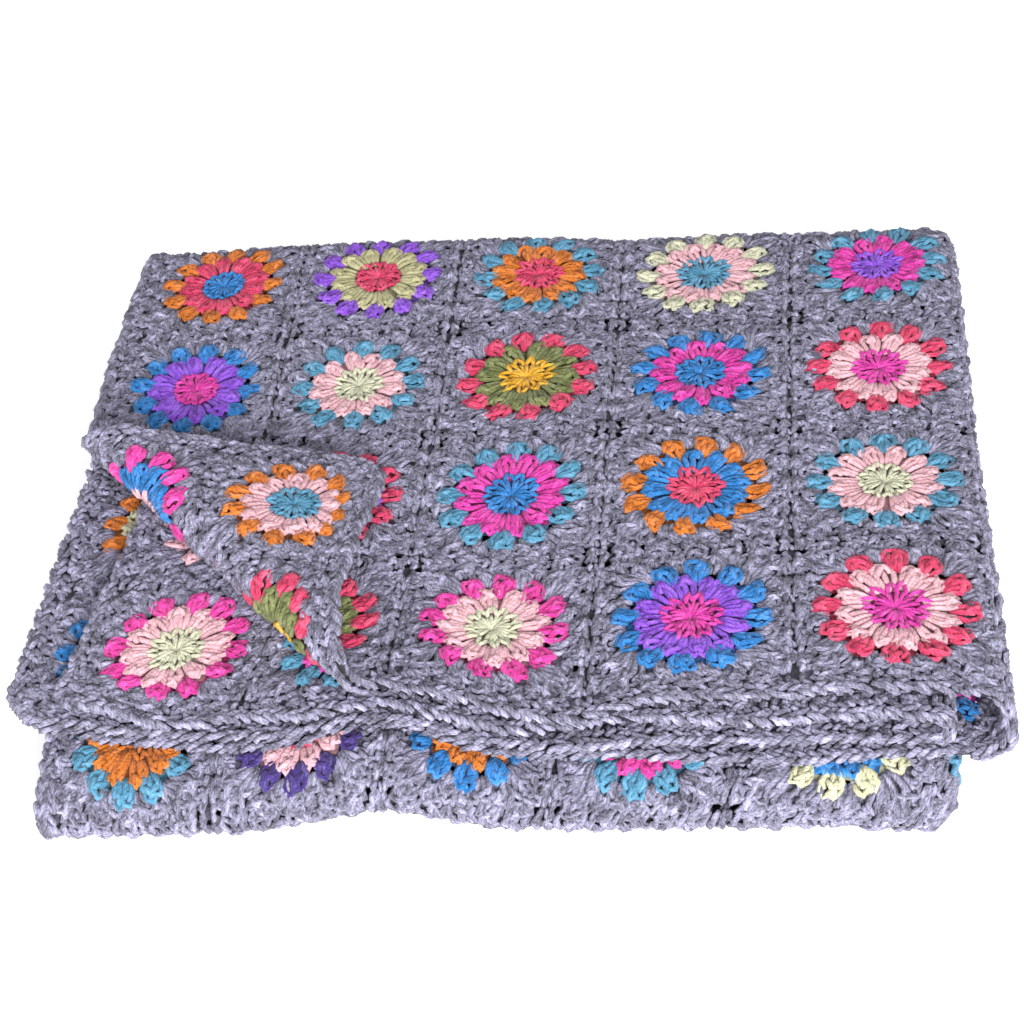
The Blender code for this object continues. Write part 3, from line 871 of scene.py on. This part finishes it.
def petal_rounds(rng):
    made = []
    for k in range(PETALS):
        angle = k * PETAL_TURN
        made += cluster(around(OUTER_SPAN[0], angle), around(OUTER_SPAN[1], angle), OUTER, rng)
    for k in range(PETALS):
        angle = (k + 0.5) * PETAL_TURN
        made += cluster(around(MIDDLE_SPAN[0], angle), around(MIDDLE_SPAN[1], angle), MIDDLE, rng)
    return made


def quarter_turns(foot, tip, form, rng):
    """A cluster and its repeats on the square's other three sides."""
    made = []
    for c, s in ((1, 0), (0, 1), (-1, 0), (0, -1)):
        rotate = np.array(((c, -s), (s, c)))
        made += cluster(rotate @ np.array(foot), rotate @ np.array(tip), form, rng)
    return made


def grey_rounds(rng):
    """Clusters between the petals, out to a square contour, and the edge clusters beyond it."""
    made = []
    for side in (-1, 1):
        angle = side * PETAL_TURN / 2
        made += quarter_turns(around(36.5, angle), (CONTOUR, side * 13.0), GAP, rng)
        made += quarter_turns(around(37.5, side * 1.45 * PETAL_TURN), (CONTOUR, side * 38.0), GAP, rng)
        made += quarter_turns((42.5, side * 24.0), (CONTOUR, side * 25.5), FILLER, rng)
        made += quarter_turns((48.0, side * 20.0), (RIM, side * 20.0), EDGE, rng)
        made += quarter_turns((47.5, side * 38.5), (RIM, side * 40.0), EDGE, rng)
    made += quarter_turns((42.5, 0.0), (CONTOUR, 0.0), FILLER, rng)
    made += quarter_turns((38.0, 38.0), (48.0, 48.0), FILLER, rng)
    made += quarter_turns((48.0, 0.0), (RIM, 0.0), EDGE, rng)
    return made


SEAM_LOOPS = 16      # to a square
CREASE_LOOPS = 0.65  # share of those that cross a crease


def seam_stitches(length, crease, rng):
    """Places along a seam, then across it: loops over a ridge, or a chain on each side of a crease."""
    made = []
    pitch = length / SEAM_LOOPS
    for k in range(SEAM_LOOPS):
        start = (k + 0.5 + rng.uniform(-0.2, 0.2)) * pitch - length / 2
        lean = rng.uniform(-2.2, 2.2)
        if crease:
            for side in (-1, 1):
                made.append(strand([(start - 3.2, side * 2.9, 1.6), (start + side * 0.5, side * 3.9, 3.3),
                                    (start + 3.6, side * 2.7, 1.8)], 1.7, 3))
        else:
            made.append(strand([(start - 2.4 + lean, -5.4, 1.0), (start - 0.4 + lean, -2.2, 3.1),
                                (start + 0.8 - lean, 2.0, 3.1), (start - 1.6 - lean, 5.4, 1.0)], 1.85, 3))
        if not crease or rng.uniform() < CREASE_LOOPS:
            made.append(strand([(start - 2.6, -1.8, 1.6), (start + 0.4, -0.6, 1.8 if crease else 3.8),
                                (start + 3.6, 0.9 + lean / 2, 1.8)], 1.65, 3))
    return made


# ---- strands to meshes
SIDES = 4
STRAND_FLATNESS = 0.85
FLOOR_CLEARANCE = 0.2 * MM  # the weight presses the lowest stitches flat above it
PATTERN_SHIFT = 10          # most, between the yarn patterns of two strands


def sweep(points, normals, radius):
    """Closed tapering tubes: points of all of them, and coordinates along and around each."""
    along = unit(np.gradient(points, axis=1))
    across = unit(np.cross(normals, along))
    up = np.cross(along, across)
    turn = 2 * pi * np.arange(SIDES) / SIDES
    reach = (radius[:, None] * FILL)[:, 1:-1, None, None]
    ring = (np.cos(turn)[:, None] * across[:, 1:-1, None, :]
            + STRAND_FLATNESS * np.sin(turn)[:, None] * up[:, 1:-1, None, :]) * reach
    rings = points[:, 1:-1, None, :] + ring
    count = len(points)
    tubes = np.concatenate([points[:, :1], rings.reshape(count, -1, 3), points[:, -1:]], 1)
    tubes[..., 2] = np.maximum(tubes[..., 2], FLOOR_CLEARANCE)
    return tubes


def tube_faces():
    """Corners and sizes of one tube's faces, with (along, around) of each corner."""
    rings = len(ALONG) - 2
    last = 1 + rings * SIDES
    corners, sizes, places = [], [], []
    for s in range(SIDES):
        t = (s + 1) % SIDES
        corners += [0, 1 + t, 1 + s]
        places += [(0, s + 0.5), (1, s + 1), (1, s)]
        sizes.append(3)
        for r in range(rings - 1):
            near, far = 1 + r * SIDES, 1 + (r + 1) * SIDES
            corners += [near + s, near + t, far + t, far + s]
            places += [(r + 1, s), (r + 1, s + 1), (r + 2, s + 1), (r + 2, s)]
            sizes.append(4)
        near = 1 + (rings - 1) * SIDES
        corners += [near + s, near + t, last]
        places += [(rings, s), (rings, s + 1), (rings + 1, s + 0.5)]
        sizes.append(3)
    return np.array(corners), np.array(sizes), np.array(places)


def add_strands(name, uvh, radius, colours, materials, rng):
    """One piece made of many strands, given as places on the sheet with heights, in metres."""
    points, normals = on_folds(*round_corners(uvh[..., 0], uvh[..., 1]), uvh[..., 2])
    normals = normals * np.where(uvh[:, 2, 2] < 0, -1.0, 1.0)[:, None, None]
    tubes = sweep(points, normals, radius)
    corners, sizes, places = tube_faces()
    count, size = len(tubes), tubes.shape[1]
    all_corners = (np.arange(count)[:, None] * size + corners).ravel()
    starts = np.append(0, np.cumsum(np.tile(sizes, count)))[:-1]
    mesh = new_mesh(name, tubes.reshape(-1, 3), all_corners, starts)
    length = np.append(np.zeros((count, 1)), np.cumsum(
        np.linalg.norm(np.diff(points, axis=1), axis=2), axis=1), axis=1)
    offset = rng.uniform(0, PATTERN_SHIFT, (count, 2))
    along = length[:, places[:, 0].astype(int)] + offset[:, :1]
    around_it = radius[:, None] * 2 * pi * places[:, 1] / SIDES + offset[:, 1:]
    uv = np.stack([along, around_it], -1).reshape(-1, 2)
    return add_piece(name, mesh, np.repeat(colours, len(sizes)), materials, uv)


def triangles_per_strand():
    _, sizes, _ = tube_faces()
    return int((sizes - 2).sum())


# ---- stitches over the sheet
JITTER = 0.45            # mm, of every place
MOTIF_TURN = radians(9)  # most that a motif is turned
MOTIF_GROWTH = (0.98, 1.07)
MOTIF_HELD = 40.0  # mm from its middle, where both begin to give way
VARIANTS = 8       # of the square, before that


def arrays_of(strands):
    return (np.array([s.places for s in strands]), np.array([s.radius for s in strands]),
            np.array([s.round for s in strands]))


def slips(shape, rng):
    """Small moves: of each whole strand, and half as large of each of its places."""
    whole = rng.normal(0, JITTER, (*shape[:-2], 1, 3))
    return (whole + rng.normal(0, JITTER / 2, shape)) * (1, 1, 0.5)


def vary(places, rng):
    """Places of one square, with its own turn and size of the motif and small slips all over."""
    turn, growth = rng.uniform(-MOTIF_TURN, MOTIF_TURN), rng.uniform(*MOTIF_GROWTH)
    reach = np.hypot(places[..., 0], places[..., 1])
    hold = 1 - smooth(reach, MOTIF_HELD, CONTOUR)
    c, s = np.cos(turn * hold), np.sin(turn * hold)
    size = 1 + (growth - 1) * hold
    x = (places[..., 0] * c - places[..., 1] * s) * size
    y = (places[..., 0] * s + places[..., 1] * c) * size
    return np.stack([x, y, places[..., 2]], -1) + slips(places.shape, rng)


def seen_of(uvh, radius, colours, rounds):
    """The strands that can be seen, of these and of their mirror images below the sheet."""
    parts = []
    for side, sign in enumerate((1, -1)):
        placed = uvh * (1, 1, sign)
        keep = is_seen(placed[:, 2, 0], placed[:, 2, 1], side)
        parts.append((placed[keep], radius[keep] * MM, colours[keep], rounds[keep]))
    return parts


def joined(found):
    return [np.concatenate(parts) for parts in zip(*found)]


def squares_with_stitches(rng):
    """Strands of all squares that can be seen, on both sides of the sheet."""
    variants = [arrays_of(centre_round(rng) + petal_rounds(rng) + grey_rounds(rng))
                for _ in range(VARIANTS)]
    found = []
    for i in range(2 * HALF_COLUMNS):
        for j in range(2 * HALF_ROWS):
            centre = ((i - HALF_COLUMNS + 0.5) * SQUARE, (j - HALF_ROWS + 0.5) * SQUARE)
            places, radius, rounds = variants[rng.integers(VARIANTS)]
            uvh = vary(places, rng) * MM + (*centre, 0)
            found += seen_of(uvh, radius, COLOURS[i, j, rounds], rounds)
    return joined(found)


def seams_with_stitches(rng):
    """Strands along the seams between squares."""
    found = []
    for axis, lines, along in ((0, HALF_COLUMNS, HALF_ROWS), (1, HALF_ROWS, HALF_COLUMNS)):
        for line in range(-lines + 1, lines):
            for k in range(-along, along):
                places, radius, rounds = arrays_of(seam_stitches(SQUARE / MM, axis == 0, rng))
                varied = (places + slips(places.shape, rng)) * MM
                uvh = varied.copy()
                uvh[..., axis] = varied[..., 1] + line * SQUARE
                uvh[..., 1 - axis] = varied[..., 0] + (k + 0.5) * SQUARE
                found += seen_of(uvh, radius, np.full(len(uvh), GREY), rounds)
    return joined(found)


EDGE_PITCH = 6.2      # mm, from stitch to stitch
EDGE_LOOSENESS = 1.8  # of its stitches, times the slips of the others
EDGE_STITCH = (       # (along, outwards from the seam, height), mm
    (((-3.6, -3.0, 2.0), (-1.0, -0.6, 2.8), (2.8, 1.8, 2.2)), 1.9),
    (((4.6, 1.4, 2.4), (0.4, 3.6, 3.0), (-4.4, 5.4, 2.2)), 2.0),
    (((-5.0, 5.2, 3.0), (0.4, 7.4, 2.8), (5.0, 9.0, 0.6)), 2.3),
)


def edging(rng):
    """Single crochet over the sheet's four edges: posts on both sides and a plaited rim."""
    strands = [strand(points, radius, 3) for points, radius in EDGE_STITCH]
    places, radius, rounds = arrays_of(strands)
    found = []
    for axis, half, length in ((0, HALF_COLUMNS * SQUARE, HALF_LENGTH), (1, HALF_ROWS * SQUARE, HALF_WIDTH)):
        count = round(2 * length / (EDGE_PITCH * MM))
        starts = (np.arange(count) + 0.5) * 2 * length / count - length
        for end in (-1, 1):
            varied = (places + EDGE_LOOSENESS * slips((count, *places.shape), rng)) * MM
            uvh = varied.copy()
            uvh[..., axis] = end * (half + varied[..., 1])
            uvh[..., 1 - axis] = varied[..., 0] + starts[:, None, None]
            uvh = uvh.reshape(-1, *places.shape[1:])
            found += seen_of(uvh, np.tile(radius, count), np.full(len(uvh), GREY), np.tile(rounds, count))
    return joined(found)


PIECE_TRIANGLES = 190000  # at most


def add_in_pieces(name, strands, materials, rng):
    """Several pieces of neighbouring strands, each with no more triangles than the limit."""
    uvh, radius, colours, _ = strands
    pieces = []
    count = int(np.ceil(len(uvh) / (PIECE_TRIANGLES // triangles_per_strand())))
    for k, part in enumerate(np.array_split(np.arange(len(uvh)), count)):
        pieces.append(add_strands(f"{name}_{k + 1}", uvh[part], radius[part], colours[part], materials, rng))
    return pieces


# ---- floor, light
FLOOR_HALF = 6.0
FLOOR_SURFACE = {"Base Color": (0.93, 0.93, 0.94, 1), "Emission Color": (1, 1, 1, 1),
                 "Emission Strength": 0.5, "Roughness": 1.0, "Specular IOR Level": 0.0}
WORLD_LIGHT = {"Color": (1, 1, 1, 1), "Strength": 0.52}


def add_floor():
    mesh = bpy.data.meshes.new("floor")
    corners = [(FLOOR_HALF * x, FLOOR_HALF * y, 0) for x, y in ((-1, -1), (1, -1), (1, 1), (-1, 1))]
    mesh.from_pydata(corners, [], [(0, 1, 2, 3)])
    floor = add_object("floor", mesh)
    material = bpy.data.materials.new("pale_floor")
    material.use_nodes = True
    set_inputs(material.node_tree.nodes["Principled BSDF"], FLOOR_SURFACE)
    mesh.materials.append(material)


LIGHTS = (  # name, place, size, watts
    ("key", (0.4, -1.95, 0.95), 0.9, 49),
    ("fill", (-1.8, -1.6, 1.2), 1.6, 18),
    ("back", (0.2, 2.0, 2.0), 2.0, 2),
)


def add_lights():
    for name, place, size, watts in LIGHTS:
        light = bpy.data.lights.new(name, "AREA")
        light.energy, light.size = watts, size
        lamp = add_object(name, light)
        lamp.location = place
        lamp.rotation_euler = (-Vector(place)).to_track_quat("-Z", "Y").to_euler()
    world = bpy.data.worlds.new("studio")
    world.use_nodes = True
    set_inputs(world.node_tree.nodes["Background"], WORLD_LIGHT)
    bpy.context.scene.world = world
    bpy.context.scene.view_settings.view_transform = "Standard"


# ---- everything
SEED = 7

add_camera()
FOLDS = sample_folds()
COLOURS = colour_table()
SIGHT = sight_map()
yarns = [yarn_material(name, colour) for name, colour in YARNS.items()]
# darker copies of each yarn for the core as painted shade between the strands, and the darkest grey as
# painted deep shade
shaded_cores = [yarn_material("core_" + name, colour, CORE_PAINTED_SHADE) for name, colour in YARNS.items()]
shaded_cores.append(yarn_material("core_shade", YARNS["grey"], SHADE_DIMMING))
rng = np.random.default_rng(SEED)
core = add_core(shaded_cores)
squares = squares_with_stitches(rng)
seams = seams_with_stitches(rng)
edges = edging(rng)
in_colour = squares[3] < 3
motifs = add_in_pieces("motifs", [part[in_colour] for part in squares], yarns, rng)
greys = add_in_pieces("grey_rounds", [part[~in_colour] for part in squares], yarns, rng)
greys += add_in_pieces("seams", seams, yarns, rng)
greys += add_in_pieces("edging", edges, yarns, rng)
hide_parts("blanket")
add_floor()
add_lights()
